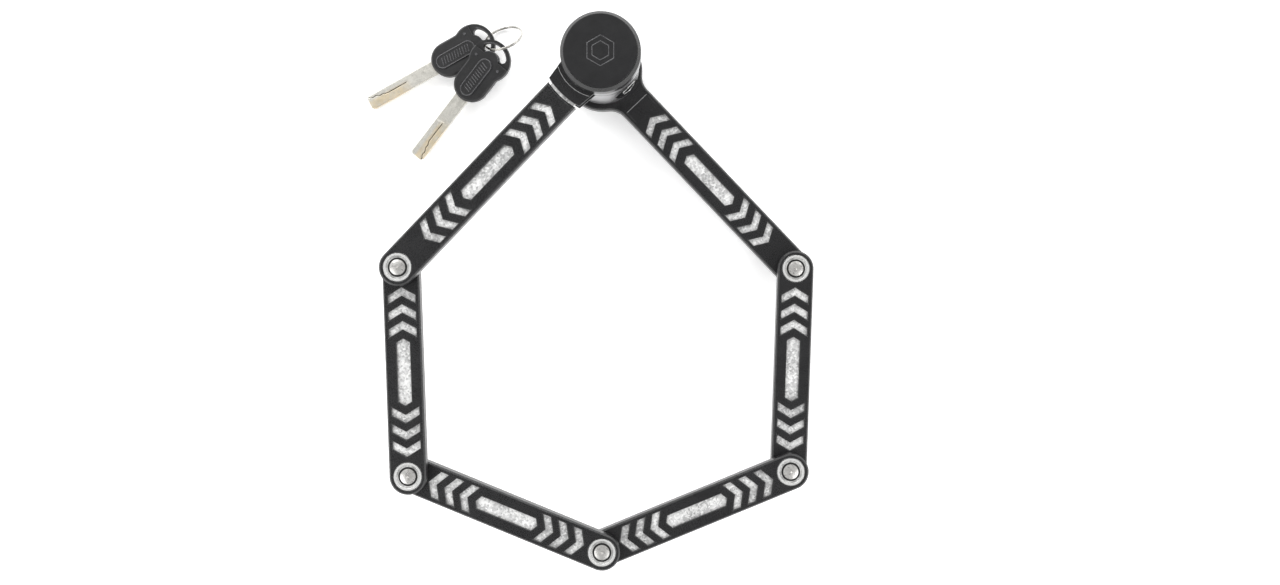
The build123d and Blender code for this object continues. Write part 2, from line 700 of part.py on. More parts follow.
def key_blade():
    """Flat blade from its tip to the end inside the head, x = 0 at the shoulder."""
    length = KEY_BLADE_LENGTH + KEY_BLADE_ROOT
    middle = KEY_BLADE_ROOT - length / 2
    blade = Pos(middle, 0, KEY_HEAD_THICK / 2) * Box(length, BLADE_WIDTH, BLADE_THICK)
    corners = blade.edges().filter_by(Axis.Z).group_by(Axis.X)[0]
    blade = chamfer(corners, KEY_TIP_CHAMFER)
    track = Box(KEY_GROOVE_LENGTH, KEY_GROOVE_WIDTH, KEY_GROOVE_DEPTH)
    start = KEY_GROOVE_LENGTH / 2 - KEY_BLADE_LENGTH
    for side in (-1, 1):
        height = KEY_HEAD_THICK / 2 + side * (BLADE_THICK - KEY_GROOVE_DEPTH) / 2
        blade -= Pos(start, side * KEY_GROOVE_WIDTH, height) * track
    return blade


def key_head():
    plan = key_head_plan()
    head = extrude(plan, KEY_HEAD_THICK)
    rims = head.faces().sort_by(Axis.Z)[0].edges() + head.faces().sort_by(Axis.Z)[-1].edges()
    head = chamfer(rims, KEY_RIM)
    oval_middle = KEY_OVAL_LENGTH / 2 + KEY_BLEND
    oval = Pos(oval_middle, 0) * SlotOverall(KEY_OVAL_LENGTH, KEY_OVAL_WIDTH)
    head += extrude(Pos(0, 0, KEY_HEAD_THICK) * oval, KEY_OVAL_RAISE)
    head -= extrude(key_slot_plan(), KEY_HEAD_THICK + KEY_OVAL_RAISE)
    recess = (KEY_HEAD_THICK - KEY_WEB_THICK) / 2
    for base in (0.0, KEY_HEAD_THICK - recess):
        head -= extrude(Pos(0, 0, base) * key_web_plan(), recess)
    root = Box(KEY_BLADE_ROOT, BLADE_WIDTH, BLADE_THICK)
    return head - Pos(KEY_BLADE_ROOT / 2, 0, KEY_HEAD_THICK / 2) * root


def key_place(tip, turn, tilt, lift):
    """Location that lays a key down with the end of its blade at the given plan point."""
    base = Location((tip[0], tip[1], lift), (0, 0, turn))
    return base * Rotation(0, -tilt, 0) * Pos(KEY_BLADE_LENGTH, 0, 0)


def key_ring():
    """Ring of round wire through the slots of both heads, as one closed turn."""
    ring_frame = Location(RING_CENTRE, (0, 0, RING_TURN)) * Rotation(RING_TILT, 0, 0)
    return ring_frame * Torus(RING_RADIUS, RING_WIRE)


# ---------------------------------------------------------------- export


def collect():
    """Every sub-part in its place, by node name."""
    nodes = {}
    bars = {1: closing_bar, LINK_COUNT: swivel_bar}
    covers = {1: closing_cover, LINK_COUNT: swivel_cover}
    for number in range(1, LINK_COUNT + 1):
        base = layer(number)
        bar = bars.get(number, middle_bar)()
        nodes[f"bar_{number}"] = place(bar, number, base + COVER_SKIN)
        nodes[f"cover_{number}"] = place(covers.get(number, middle_cover)(), number, base)
    for number in range(1, LINK_COUNT):
        x, y = STARTS[number]
        at = Pos(x, y, layer(number + 1) + COVER_SKIN)
        nodes[f"rivet_{number}"] = at * rivet()
        nodes[f"rivet_washers_{number}"] = at * rivet_washers()
        nodes[f"link_spacer_{number}"] = at * link_spacer()
    nodes["swivel_bush"] = place(swivel_bush(), LINK_COUNT, LOWER_COLLAR + COVER_SKIN)
    for make in (upper_cap, upper_face, socket_floor, stop_block, upper_cap_screws,
                 end_cap_screws, lock_housing, guide_pin, barrel_sleeve, badge_plate,
                 badge_pins, key_end_cap, dust_shutter, shutter_pin, key_plug, plug_clip,
                 detainer_discs, disc_spacers, sidebar, bolt_cam, locking_bolt, key_ring):
        nodes[make.__name__] = make()
    keys = ((KEY_1_TIP, KEY_1_TURN, KEY_1_TILT, KEY_1_LIFT),
            (KEY_2_TIP, KEY_2_TURN, KEY_2_TILT, KEY_2_LIFT))
    for number, (tip, turn, tilt, lift) in enumerate(keys, start=1):
        where = key_place(tip, turn, tilt, lift)
        nodes[f"key_{number}_blade"] = where * key_blade()
        nodes[f"key_{number}_head"] = where * key_head()
    return nodes


for name, shape in collect().items():
    export_step(shape, f"parts/{name}.step")
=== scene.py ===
import math

import bpy
from mathutils import Matrix, Vector


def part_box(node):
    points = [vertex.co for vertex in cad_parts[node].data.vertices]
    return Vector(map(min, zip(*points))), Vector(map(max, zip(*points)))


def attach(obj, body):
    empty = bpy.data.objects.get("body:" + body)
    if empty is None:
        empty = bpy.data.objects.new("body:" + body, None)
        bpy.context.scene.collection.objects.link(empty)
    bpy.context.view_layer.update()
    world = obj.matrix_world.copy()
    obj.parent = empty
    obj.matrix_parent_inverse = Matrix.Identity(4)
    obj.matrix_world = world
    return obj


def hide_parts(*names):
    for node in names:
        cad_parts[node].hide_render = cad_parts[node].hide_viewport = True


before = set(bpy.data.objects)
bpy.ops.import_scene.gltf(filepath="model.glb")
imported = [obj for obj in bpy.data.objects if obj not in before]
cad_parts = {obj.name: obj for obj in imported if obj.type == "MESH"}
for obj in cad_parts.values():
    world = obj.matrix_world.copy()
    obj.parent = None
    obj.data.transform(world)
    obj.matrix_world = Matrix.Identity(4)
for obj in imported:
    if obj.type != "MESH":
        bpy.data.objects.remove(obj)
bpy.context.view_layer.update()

MM = 0.001

# Places that the frame gives, in metres.
TOP_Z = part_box("upper_face")[1][2]
SLEEVE_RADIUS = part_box("barrel_sleeve")[1][0]


def centre(node):
    low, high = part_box(node)
    return Vector([(a + b) / 2 for a, b in zip(low, high)])


# ---------------------------------------------------------------- materials


class Graph:
    """A material under construction: short calls that add and join nodes."""

    def __init__(self, name):
        self.material = bpy.data.materials.new(name)
        self.material.use_nodes = True
        self.tree = self.material.node_tree
        self.shader = self.tree.nodes["Principled BSDF"]
        self.space = self.node("ShaderNodeTexCoord").outputs["Object"]

    def node(self, kind, **settings):
        made = self.tree.nodes.new(kind)
        for key, value in settings.items():
            setattr(made, key, value)
        return made

    def feed(self, socket, value):
        if isinstance(value, bpy.types.NodeSocket):
            self.tree.links.new(value, socket)
        else:
            socket.default_value = value

    def set(self, **sockets):
        for name, value in sockets.items():
            self.feed(self.shader.inputs[name.replace("_", " ")], value)

    def math(self, operation, a, b=0.0):
        made = self.node("ShaderNodeMath", operation=operation)
        for socket, value in zip(made.inputs, (a, b)):
            self.feed(socket, value)
        return made.outputs[0]

    def shift(self, offset, scale=(1, 1, 1), turn=0.0):
        """Object space moved so that offset is the origin, turned about Z, then scaled."""
        moved = self.node("ShaderNodeVectorMath", operation="SUBTRACT")
        self.feed(moved.inputs[0], self.space)
        moved.inputs[1].default_value = offset
        mapped = self.node("ShaderNodeMapping")
        self.feed(mapped.inputs["Vector"], moved.outputs[0])
        mapped.inputs["Rotation"].default_value = (0, 0, -turn)
        mapped.inputs["Scale"].default_value = scale
        return mapped.outputs[0]

    def noise(self, scale, detail=2.0, rough=0.5, vector=None):
        made = self.node("ShaderNodeTexNoise")
        self.feed(made.inputs["Vector"], vector or self.space)
        made.inputs["Scale"].default_value = scale
        made.inputs["Detail"].default_value = detail
        made.inputs["Roughness"].default_value = rough
        return made.outputs["Fac"]

    def cells(self, scale):
        made = self.node("ShaderNodeTexVoronoi")
        self.feed(made.inputs["Vector"], self.space)
        made.inputs["Scale"].default_value = scale
        return made

    def span(self, value, low, high, out_low=0.0, out_high=1.0):
        made = self.node("ShaderNodeMapRange")
        for socket, given in zip(made.inputs, (value, low, high, out_low, out_high)):
            self.feed(socket, given)
        return made.outputs[0]

    def mix(self, factor, first, second):
        made = self.node("ShaderNodeMix", data_type="RGBA")
        self.feed(made.inputs[0], factor)
        self.feed(made.inputs[6], (*first, 1) if isinstance(first, tuple) else first)
        self.feed(made.inputs[7], (*second, 1) if isinstance(second, tuple) else second)
        return made.outputs[2]

    def radius(self, offset):
        """Distance from the upright axis through offset."""
        flat = self.node("ShaderNodeVectorMath", operation="LENGTH")
        self.feed(flat.inputs[0], self.shift(offset, scale=(1, 1, 0)))
        return flat.outputs["Value"]

    def rounded(self, radius, samples=4):
        """Normal with every sharp edge softened."""
        made = self.node("ShaderNodeBevel", samples=samples)
        made.inputs["Radius"].default_value = radius
        return made.outputs[0]

    def edge(self, radius, low=0.02, high=0.25):
        """1 along sharp edges, 0 on open faces."""
        soft = self.rounded(radius)
        plain = self.node("ShaderNodeNewGeometry").outputs["Normal"]
        dot = self.node("ShaderNodeVectorMath", operation="DOT_PRODUCT")
        self.feed(dot.inputs[0], soft)
        self.feed(dot.inputs[1], plain)
        return self.span(self.math("SUBTRACT", 1.0, dot.outputs["Value"]), low, high)

    def relief(self, *layers, normal=None):
        """Bumps laid on each other: each layer is (height, strength, distance)."""
        for height, strength, distance in layers:
            made = self.node("ShaderNodeBump")
            made.inputs["Strength"].default_value = strength
            made.inputs["Distance"].default_value = distance
            self.feed(made.inputs["Height"], height)
            if normal is not None:
                self.feed(made.inputs["Normal"], normal)
            normal = made.outputs[0]
        self.feed(self.shader.inputs["Normal"], normal)


# Rings round a rivet's axis: edge of its head and the gap beyond it, both painted dark as shadow, and rim
# of the washer.
HEAD_EDGE = (4.45 * MM, 4.70 * MM)
GAP_EDGE = (5.60 * MM, 5.95 * MM)
WASHER_RIM = (6.7 * MM, 7.15 * MM)


def moulded_black(name, dark, light, rough, grain=2600.0, depth=0.05, shine=0.60):
    """Black moulded plastic with a fine spark-eroded grain, and edges painted paler as a highlight."""
    g = Graph(name)
    cloud = g.span(g.noise(38, 3), 0.3, 0.7)
    speck = g.span(g.noise(grain, 1), 0.35, 0.65)
    base = g.mix(cloud, dark, light)
    # Painted highlight: the colour is lightened along sharp edges, where the edges would catch light.
    wear_and_edge_sheen = g.mix(g.math("MULTIPLY", g.edge(0.5 * MM), 0.55), base, tuple(5.0 * c for c in light))
    g.set(Base_Color=g.mix(g.math("MULTIPLY", speck, 0.25), wear_and_edge_sheen, tuple(1.9 * c for c in light)))
    g.set(Roughness=g.span(g.math("ADD", g.noise(120, 2), speck), 0.6, 1.4, rough - 0.05, rough + 0.08))
    g.set(Specular_IOR_Level=shine)
    g.relief((g.noise(grain, 2, 0.6), 0.35, depth * MM), (g.noise(160, 2), 0.12, 0.1 * MM),
             normal=g.rounded(0.35 * MM))
    return g.material


def galvanised(name):
    """Zinc-plated hardened bar: bright, slightly crystalline, with rolled scratches."""
    g = Graph(name)
    spangle = g.cells(900).outputs["Color"]
    bright = g.node("ShaderNodeSeparateColor")
    g.feed(bright.inputs[0], spangle)
    cloud = g.noise(55, 4, 0.6)
    tone = g.math("ADD", g.math("MULTIPLY", bright.outputs[0], 0.35), g.math("MULTIPLY", cloud, 0.75))
    g.set(Base_Color=g.mix(g.span(tone, 0.32, 0.72), (0.40, 0.40, 0.40), (0.96, 0.96, 0.95)))
    g.set(Metallic=0.45)
    g.set(Roughness=g.span(g.noise(420, 3), 0.3, 0.7, 0.38, 0.58))
    g.relief((g.noise(1500, 3, 0.65), 0.45, 0.12 * MM), (bright.outputs[0], 0.2, 0.05 * MM))
    return g.material


def turned_steel(name, middle, pitch, low, high, rough, metallic=1.0):
    """Rivet head turned on a lathe: fine rings about its axis, and a painted shadow darkening the edge of
    the head.
    """
    g = Graph(name)
    away = g.radius(middle)
    wobble = g.math("MULTIPLY", g.noise(240, 2), 0.4)
    phase = g.math("ADD", g.math("MULTIPLY", away, 2 * math.pi / pitch), wobble)
    rings = g.math("SINE", phase)
    shade = g.span(g.math("ADD", g.math("MULTIPLY", rings, 0.3), g.noise(700, 3)), 0.1, 0.9)
    # Painted shadow: the outer edge of the head is darkened to near black, as if shaded by the gap round
    # it.
    edge = g.span(away, *HEAD_EDGE)
    g.set(Base_Color=g.mix(edge, g.mix(shade, low, high), (0.030, 0.030, 0.030)))
    g.set(Metallic=metallic)
    g.set(Roughness=g.span(g.noise(500, 2), 0.3, 0.7, rough - 0.06, rough + 0.08))
    g.relief((rings, 0.18, 0.03 * MM), (g.noise(1200, 2), 0.15, 0.03 * MM), normal=g.rounded(0.12 * MM))
    return g.material


def cup_steel(name, middle):
    """Dished washer: polished rim, mottled bead-blasted dish, and a painted shadow in the gap at the rivet
    head.
    """
    g = Graph(name)
    away = g.radius(middle)
    rim = g.span(away, *WASHER_RIM)
    shadow = g.span(away, *GAP_EDGE)
    blast = g.noise(1300, 3, 0.7)
    dish = g.mix(g.span(blast, 0.3, 0.7), (0.40, 0.40, 0.39), (0.86, 0.86, 0.85))
    dish = g.mix(g.span(g.noise(190, 2), 0.42, 0.62, 0.0, 0.65), dish, (0.20, 0.20, 0.195))
    # Painted shadow: the dish is darkened to near black in the gap round the rivet head.
    dish = g.mix(shadow, (0.015, 0.015, 0.015), dish)
    g.set(Base_Color=g.mix(rim, dish, (0.90, 0.90, 0.89)))
    g.set(Metallic=0.55)
    g.set(Roughness=g.span(rim, 0, 1, 0.5, 0.26))
    grain = g.math("MULTIPLY", blast, g.math("SUBTRACT", 1.0, rim))
    g.relief((grain, 0.6, 0.15 * MM), normal=g.rounded(0.15 * MM))
    return g.material


def machined(name, low, high, rough, metallic=1.0, scale=(400, 400, 2600)):
    """Plain machined metal with a lay of fine tool marks across Z."""
    g = Graph(name)
    lay = g.noise(1.0, 3, 0.6, vector=g.shift((0, 0, 0), scale=scale))
    cloud = g.noise(60, 2)
    g.set(Base_Color=g.mix(g.span(g.math("ADD", lay, g.math("MULTIPLY", cloud, 0.5)), 0.4, 1.1), low, high))
    g.set(Metallic=metallic)
    g.set(Roughness=g.span(lay, 0.3, 0.7, rough - 0.07, rough + 0.09))
    g.relief((lay, 0.2, 0.04 * MM), normal=g.rounded(0.12 * MM))
    return g.material


def anodised(name):
    """Satin anodised tube with a fine brushed lay round the barrel."""
    g = Graph(name)
    lay = g.noise(1.0, 4, 0.6, vector=g.shift((0, 0, 0), scale=(60, 60, 4200)))
    cloud = g.noise(30, 2)
    g.set(Base_Color=g.mix(g.span(lay, 0.3, 0.7), (0.46, 0.46, 0.47), (0.66, 0.66, 0.67)))
    g.set(Metallic=1.0)
    g.set(Roughness=g.span(g.math("ADD", lay, g.math("MULTIPLY", cloud, 0.5)), 0.45, 1.05, 0.28, 0.42))
    g.relief((lay, 0.16, 0.03 * MM))
    return g.material


def key_nickel(name, tip, heading, low_side, high_side):
    """Nickel-plated brass, worn warm near the tip, on the milled side of the blade."""
    g = Graph(name)
    along = g.node("ShaderNodeSeparateXYZ")
    g.feed(along.inputs[0], g.shift(tip, turn=heading))
    near_tip = g.math("SUBTRACT", 1.0, g.span(along.outputs[0], 22 * MM, 30 * MM))
    wear_and_edge_sheen = g.math("SUBTRACT", 1.0, g.span(along.outputs[1], low_side, high_side))
    wear = g.math("MULTIPLY", g.math("MULTIPLY", near_tip, wear_and_edge_sheen), 0.75)
    wear = g.math("MULTIPLY", wear, g.span(g.noise(260, 4, 0.65), 0.2, 0.55))
    frost = g.span(g.noise(1500, 3, 0.7), 0.3, 0.7)
    nickel = g.mix(frost, (0.56, 0.55, 0.50), (0.80, 0.78, 0.72))
    groove = g.node("ShaderNodeAttribute", attribute_name="groove").outputs["Fac"]
    surface = g.mix(wear, nickel, (0.74, 0.61, 0.40))
    # Painted shade: the milled groove, marked by the groove attribute, is darkened to near black brown.
    g.set(Base_Color=g.mix(g.span(groove, 0.25, 0.75), surface, (0.060, 0.045, 0.025)))
    g.set(Metallic=0.75)
    g.set(Roughness=g.span(g.noise(600, 3), 0.3, 0.7, 0.34, 0.5))
    scratches = g.noise(1.0, 2, 0.5, vector=g.shift(tip, scale=(150, 5200, 800), turn=heading))
    g.relief((g.noise(1500, 2), 0.25, 0.05 * MM), (scratches, 0.12, 0.03 * MM),
             normal=g.rounded(0.12 * MM))
    return g.material


def pale_floor(name):
    g = Graph(name)
    g.set(Base_Color=g.mix(g.span(g.noise(3, 3), 0.3, 0.7), (0.90, 0.90, 0.90), (0.94, 0.94, 0.94)))
    g.set(Roughness=0.75)
    g.set(Specular_IOR_Level=0.15)
    g.set(Emission_Color=(1.0, 1.0, 1.0, 1.0))
    g.set(Emission_Strength=0.32)
    return g.material


COVER_BLACK = moulded_black("cover_black", (0.0055, 0.0055, 0.0060), (0.0090, 0.0090, 0.0098), 0.29,
                            shine=0.85)
CAP_BLACK = moulded_black("cap_black", (0.0050, 0.0050, 0.0055), (0.0080, 0.0080, 0.0088), 0.24,
                          grain=3400.0, depth=0.015, shine=1.0)
FACE_BLACK = moulded_black("face_black", (0.0050, 0.0050, 0.0055), (0.0080, 0.0080, 0.0088), 0.36,
                           grain=3400.0, depth=0.03)
KEY_BLACK = moulded_black("key_black", (0.0060, 0.0060, 0.0066), (0.0120, 0.0120, 0.0128), 0.40,
                          grain=2100.0, depth=0.10)
# Paler copy of the black plastic: painted highlight on raised beads, ribs, rims and outlines.
BEAD_HIGHLIGHT_BLACK = moulded_black("bead_highlight_black", (0.045, 0.045, 0.047), (0.070, 0.070, 0.073), 0.24,
                           grain=1500.0, depth=0.02)
# Pale grey for thin beads that paint edge highlights.
HIGHLIGHT_GREY = moulded_black("highlight_grey", (0.16, 0.16, 0.16), (0.24, 0.24, 0.24), 0.30,
                          grain=1500.0, depth=0.01)
BADGE_BLACK = moulded_black("badge_black", (0.0050, 0.0050, 0.0055), (0.0080, 0.0080, 0.0090), 0.18,
                            grain=1500.0, depth=0.01)
ZINC = galvanised("galvanised_steel")
SLEEVE = anodised("satin_aluminium")
CORE = machined("core_steel", (0.30, 0.30, 0.31), (0.52, 0.52, 0.53), 0.36)
DARK_SCREW = machined("blackened_steel", (0.05, 0.05, 0.055), (0.12, 0.12, 0.125), 0.34)
BRIGHT = machined("polished_steel", (0.62, 0.62, 0.62), (0.84, 0.84, 0.84), 0.24)
BRASS = machined("lock_brass", (0.56, 0.40, 0.14), (0.80, 0.62, 0.28), 0.30)
CHROME = machined("ring_wire", (0.44, 0.43, 0.40), (0.70, 0.69, 0.65), 0.24)


def paint(node, material):
    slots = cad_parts[node].data.materials
    slots.clear()
    slots.append(material)


PLAIN = {
    CAP_BLACK: ("upper_cap", "socket_floor", "key_end_cap"),
    FACE_BLACK: ("upper_face",),
    CORE: ("lock_housing", "stop_block", "guide_pin", "locking_bolt", "sidebar", "plug_clip", "bolt_cam"),
    DARK_SCREW: ("upper_cap_screws", "end_cap_screws"),
    BRIGHT: ("dust_shutter", "shutter_pin", "badge_pins"),
    BRASS: ("key_plug", "detainer_discs", "disc_spacers", "swivel_bush"),
    SLEEVE: ("barrel_sleeve",),
    KEY_BLACK: ("key_1_head", "key_2_head"),
}
for material, names in PLAIN.items():
    for name in names:
        paint(name, material)
for number in range(1, 7):
    paint(f"bar_{number}", ZINC)
    paint(f"cover_{number}", COVER_BLACK)
for number in range(1, 6):
    middle = tuple(centre(f"rivet_{number}"))
    paint(f"rivet_{number}", turned_steel(f"rivet_steel_{number}", middle, 0.42 * MM,
                                          (0.50, 0.49, 0.47), (0.80, 0.79, 0.77), 0.30,
                                          metallic=0.7))
    paint(f"rivet_washers_{number}", cup_steel(f"cup_steel_{number}", middle))
    paint(f"link_spacer_{number}", COVER_BLACK)


# ---------------------------------------------------------------- new pieces


def add(piece, body, material):
    piece.data.materials.append(material)
    bpy.context.collection.objects.link(piece)
    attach(piece, body)
    return piece


def solid(name, rings, material, body):
    """Closed mesh through rings of points: each end ring is closed by a fan round its middle."""
    count = len(rings[0])
    points = [point for row in rings for point in row]
    faces = []
    for row in range(len(rings) - 1):
        for step in range(count):
            after = (step + 1) % count
            faces.append((row * count + step, row * count + after,
                          (row + 1) * count + after, (row + 1) * count + step))
    for first, flip in ((0, True), ((len(rings) - 1) * count, False)):
        hub = len(points)
        points.append(sum((Vector(p) for p in points[first:first + count]), Vector()) / count)
        for step in range(count):
            pair = (first + step, first + (step + 1) % count)
            faces.append((*(reversed(pair) if flip else pair), hub))
    mesh = bpy.data.meshes.new(name)
    mesh.from_pydata(points, [], faces)
    mesh.validate()
    for face in mesh.polygons:
        face.use_smooth = True
    return add(bpy.data.objects.new(name, mesh), body, material)


def wires(name, runs, radius, material, body, cyclic=False):
    """Round beads along one or more runs of points."""
    curve = bpy.data.curves.new(name, "CURVE")
    curve.dimensions = "3D"
    curve.bevel_depth = radius
    curve.bevel_resolution = 3
    curve.use_fill_caps = True
    for run in runs:
        spline = curve.splines.new("POLY")
        spline.points.add(len(run) - 1)
        for knot, place in zip(spline.points, run):
            knot.co = (*place, 1)
        spline.use_cyclic_u = cyclic
        spline.use_smooth = True
    return add(bpy.data.objects.new(name, curve), body, material)


def arc(middle, radius, start, end, count, height=0.0):
    """Points of an arc in a level plane, angles in degrees."""
    turns = [math.radians(start + (end - start) * step / (count - 1)) for step in range(count)]
    return [Vector((middle[0] + radius * math.cos(t), middle[1] + radius * math.sin(t), height))
            for t in turns]


def centroid(node):
    """Area centre of a node's surface, and the normal of its largest face, turned upwards."""
    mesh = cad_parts[node].data
    whole = sum(face.area for face in mesh.polygons)
    middle = sum((face.center * face.area for face in mesh.polygons), Vector()) / whole
    up = max(mesh.polygons, key=lambda face: face.area).normal
    return middle, up if up.z > 0 else -up


# ---------------------------------------------------------------- end face and badge

EMBLEM_RADIUS = 9.0 * MM
EMBLEM_INNER = 5.6 * MM
EMBLEM_LINE = 0.34 * MM


def face_emblem():
    """Two plain six-sided outlines, moulded proud of the disc of the upper end."""
    level = TOP_Z - 0.3 * EMBLEM_LINE
    outlines = [arc((0, 0), radius, 30, 330, 6, level) for radius in (EMBLEM_RADIUS, EMBLEM_INNER)]
    # The outlines are drawn in the paler black, a painted highlight on the relief.
    wires("face_emblem", outlines, EMBLEM_LINE, BEAD_HIGHLIGHT_BLACK, "barrel", cyclic=True)


PANEL_HIGHLIGHT_START = 30.5 * MM
PANEL_HIGHLIGHT_HALF = 8.5 * MM
STEP_RADIUS = 26.35 * MM
STEP_HEIGHT = 0.62 * MM
STEP_HALF_ANGLE = 28.5
HIGHLIGHT_LINE = 0.14 * MM


def highlight_lines():
    """Painted highlights: thin grey beads along the edge of link 6's panel, and of the low step round the
    foot of the cap.
    """
    along = centre("rivet_5")
    heading = math.atan2(along.y, along.x)
    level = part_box("cover_6")[1][2]
    turn = Matrix.Rotation(heading, 4, "Z")
    panel = [turn @ Vector((PANEL_HIGHLIGHT_START, side * PANEL_HIGHLIGHT_HALF, level)) for side in (-1, 1)]
    wires("panel_highlight", [panel], HIGHLIGHT_LINE, HIGHLIGHT_GREY, "link_6")
    along = centre("rivet_1")
    heading = math.degrees(math.atan2(along.y, along.x))
    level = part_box("cover_1")[1][2] + STEP_HEIGHT
    step = arc((0, 0), STEP_RADIUS, heading - STEP_HALF_ANGLE, heading + STEP_HALF_ANGLE, 40, level)
    wires("cap_step_highlight", [step], HIGHLIGHT_LINE, HIGHLIGHT_GREY, "barrel")


BADGE_STEPS = 96
# Share of the outline and height above the plate's face, in plate thicknesses, from the
# middle of the front, over the raised rim, to the middle of the back.
BADGE_PROFILE = [(0.04, -0.30), (0.45, -0.32), (0.74, -0.42), (0.83, -0.50), (0.86, -0.10), (0.89, 0.0),
                 (0.94, 0.0), (0.975, -0.16), (1.0, -0.45), (1.0, -0.98), (0.5, -0.98), (0.04, -0.98)]
HEXAGON_SHARE = 0.52
HEXAGON_SINK = 0.30
HEXAGON_LINE = 0.28 * MM


def badge():
    """Crowned oval badge with a raised rim, bent to the sleeve."""
    middle = centroid("badge_plate")[0]
    facing = math.atan2(middle.y, middle.x)
    points = [v.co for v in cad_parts["badge_plate"].data.vertices]
    low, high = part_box("badge_plate")
    half_height = (high[2] - low[2]) / 2
    level = (high[2] + low[2]) / 2
    outer = max(p.xy.length for p in points)
    thick = outer - SLEEVE_RADIUS
    half_width = outer * max(math.asin((p.y * math.cos(facing) - p.x * math.sin(facing)) / p.xy.length)
                             for p in points)

    def place(share, angle, depth):
        sweep = facing + share * half_width * math.cos(angle) / outer
        return Vector((depth * math.cos(sweep), depth * math.sin(sweep),
                       level + share * half_height * math.sin(angle)))

    angles = [2 * math.pi * step / BADGE_STEPS for step in range(BADGE_STEPS)]
    rings = [[place(share, angle, outer + lift * thick) for angle in angles]
             for share, lift in BADGE_PROFILE]
    plate = solid("badge_shell", rings, BADGE_BLACK, "barrel")
    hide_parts("badge_plate", "badge_pins")
    depth = outer - HEXAGON_SINK * thick
    hexagon = [place(HEXAGON_SHARE, math.radians(60 * step + 30), depth) for step in range(6)]
    wires("badge_emblem", [hexagon], HEXAGON_LINE, BRIGHT, "barrel", cyclic=True)


# ---------------------------------------------------------------- keys

HEAD_THICK = 6.6 * MM
BLADE_LENGTH = 47.0 * MM
CROWN_CENTRE = 29.8 * MM
SLOT_RADIUS = 8.4 * MM
SLOT_WIDTH = 4.6 * MM
WEB_TOP = 5.2 * MM
WEB_START = 5.9 * MM
OVAL_LENGTH = 27.0 * MM
OVAL_WIDTH = 9.0 * MM
OVAL_MIDDLE = 16.5 * MM
OVAL_TOP = HEAD_THICK + 0.5 * MM
# Milling of the blades
BLADE_ROWS = 200
BLADE_COLUMNS = 60
LINE_REACH = 0.26 * MM       # milled line, from its middle to half of its depth
LINE_DEPTH = 0.45 * MM
FLAT_DEPTH = 0.16 * MM
MILLED_SHARE = 0.60          # of the blade's length, from the tip
ZIGZAG_SHARE = 0.40
EDGE_ROUND = 0.22 * MM
EDGE_START = 0.92            # of the half width
TIP_TAPER = 1.6 * MM
TIP_WIDTH = 0.72
WORN_BAND = (0.4 * MM, 2.0 * MM)
# Raised detail of the heads
BEAD_INSET = 0.35 * MM
BEAD_WIRE = 0.36 * MM
RIB_COUNT = 11
RIB_STEP = 1.85 * MM
RIB_LEAN = 0.5 * MM
RIB_HALF = 2.3 * MM
RIB_WIRE = 0.32 * MM
RIM_GAP = 0.45 * MM
RIM_SINK = 0.1 * MM
RIM_WIRE = 0.24 * MM
SLOT_RIM_ANGLE = 55
INNER_RIM_ANGLE = 62
PIP_BACK = 2.0 * MM
PIP_SIDE = 8.6 * MM
PIP_SINK = 0.3 * MM
PIP_LENGTH = 0.7 * MM
PIP_WIRE = 0.80 * MM
# Split ring
CAD_WIRE = 0.80 * MM         # wire of the CAD ring, whose outside the turns keep inside
RING_WIRE = 0.46 * MM
RING_TURNS = 1.93
RING_STEPS = 200
RING_SPREAD = 0.85           # of a wire's radius, each turn off the ring's middle plane
CROSS_START = 0.42           # of the wire's length
CROSS_SHARE = 0.16


def key_frame(number):
    """Matrix from a key's own frame: x = 0 at the shoulder, +X to the crown, z = 0 underneath."""
    head, up = centroid(f"key_{number}_head")
    blade = centroid(f"key_{number}_blade")[0]
    along = head - blade
    along = (along - along.dot(up) * up).normalized()
    across = up.cross(along)
    turn = Matrix((along, across, up)).transposed()
    points = [turn.transposed() @ v.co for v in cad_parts[f"key_{number}_head"].data.vertices]
    middle = turn.transposed() @ blade
    origin = turn @ Vector((min(p.x for p in points), middle.y, min(p.z for p in points)))
    return Matrix.Translation(origin) @ turn.to_4x4()


